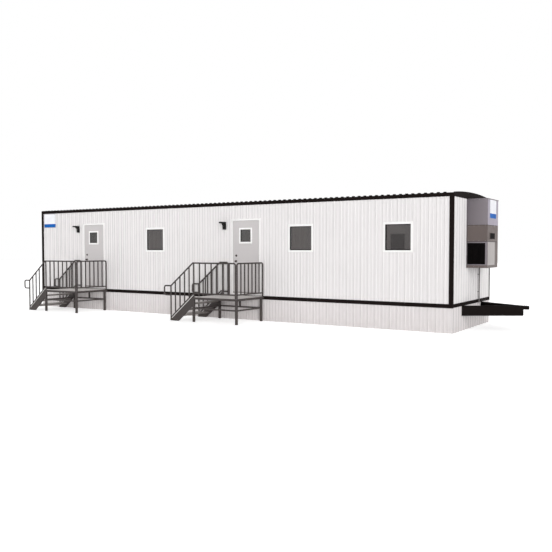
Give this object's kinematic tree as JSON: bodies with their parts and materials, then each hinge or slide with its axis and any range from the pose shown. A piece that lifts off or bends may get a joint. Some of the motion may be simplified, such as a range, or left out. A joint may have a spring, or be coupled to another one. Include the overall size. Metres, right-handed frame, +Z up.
{
  "type": "portable site cabin",
  "caption": "Long site cabin with ribbed metal siding, bowed black roof, skirting, hinged doors, metal landings with stairs, wall air unit and tow hitch.",
  "frame": {"origin": "on the ground under the middle of the whole outline, landings and hitch included", "axes": "+X along the cabin towards the hitch, -Y out of the wall with the doors, +Z up"},
  "size_m": [16.434, 4.539, 3.474],
  "materials": {
    "chassis_steel": "satin black painted steel beams",
    "pier_block": "grey concrete block",
    "floor_deck": "plywood floor with sheet covering",
    "inner_lining": "off-white lining panels",
    "roof_sheet": "black ribbed roofing sheet",
    "siding": "off-white ribbed metal siding",
    "skirting": "off-white ribbed metal skirting, a little darker",
    "black_trim": "black formed metal trim",
    "white_frame": "white painted frame sections",
    "window_glass": "grey tinted glass",
    "door_paint": "light grey painted steel door",
    "lock_metal": "worn satin metal knob and bolt",
    "unit_housing": "grey painted sheet metal housing",
    "unit_grille": "black louvres",
    "unit_panel": "light grey access panel",
    "conduit": "grey metal conduit",
    "lamp_body": "black cast lamp housing",
    "plate": "blank white plate with a plain blue bar",
    "panel_box": "dark grey steel cabinet",
    "stair_steel": "dark grey powder-coated steel",
    "deck_plate": "light grey deck plate",
    "tread_metal": "grey treads with worn noses"
  },
  "bodies": {
    "cabin": {"chassis_beams": "chassis_steel", "chassis_crossmembers": "chassis_steel", "support_piers": "pier_block", "hitch_beams": "chassis_steel", "hitch_coupler": "chassis_steel", "floor": "floor_deck", "ceiling": "inner_lining", "roof": "roof_sheet", "front_wall_left": "siding", "front_wall_middle": "siding", "front_wall_right": "siding", "front_wall_over_doors": "siding", "rear_wall": "siding", "left_end_wall": "siding", "right_end_wall": "siding", "eave_trims": "black_trim", "end_fascias": "black_trim", "corner_trims": "black_trim", "base_band": "black_trim", "front_skirt": "skirting", "rear_skirt": "skirting", "left_skirt": "skirting", "right_skirt": "skirting", "front_window_frames": "white_frame", "front_window_glass": "window_glass", "rear_window_frames": "white_frame", "rear_window_glass": "window_glass", "air_unit_housing": "unit_housing", "air_unit_grilles": "unit_grille", "air_unit_panels": "unit_panel", "air_unit_conduit": "conduit", "wall_lamps": "lamp_body", "blank_plates": "plate", "breaker_panel": "panel_box", "door_frame_1": "white_frame", "landing_deck_1": "deck_plate", "landing_frame_1": "stair_steel", "front_railing_1": "stair_steel", "side_railing_1": "stair_steel", "wall_railing_1": "stair_steel", "stair_stringers_1": "stair_steel", "stair_treads_1": "tread_metal", "door_frame_2": "white_frame", "landing_deck_2": "deck_plate", "landing_frame_2": "stair_steel", "front_railing_2": "stair_steel", "side_railing_2": "stair_steel", "wall_railing_2": "stair_steel", "stair_stringers_2": "stair_steel", "stair_treads_2": "tread_metal"},
    "door_1": {"door_leaf_1": "door_paint", "door_pane_1": "window_glass", "door_pane_trim_1": "white_frame", "door_lockset_1": "lock_metal"},
    "door_2": {"door_leaf_2": "door_paint", "door_pane_2": "window_glass", "door_pane_trim_2": "white_frame", "door_lockset_2": "lock_metal"}
  },
  "joints": [
    {"name": "door_1_hinge", "type": "hinge", "parent": "cabin", "child": "door_1", "pos_m": [-5.0725, -0.963, 0.765], "axis": [0, 0, 1], "range_deg": [0, 90]},
    {"name": "door_2_hinge", "type": "hinge", "parent": "cabin", "child": "door_2", "pos_m": [1.2075, -0.963, 0.765], "axis": [0, 0, 1], "range_deg": [0, 90]}
  ]
}
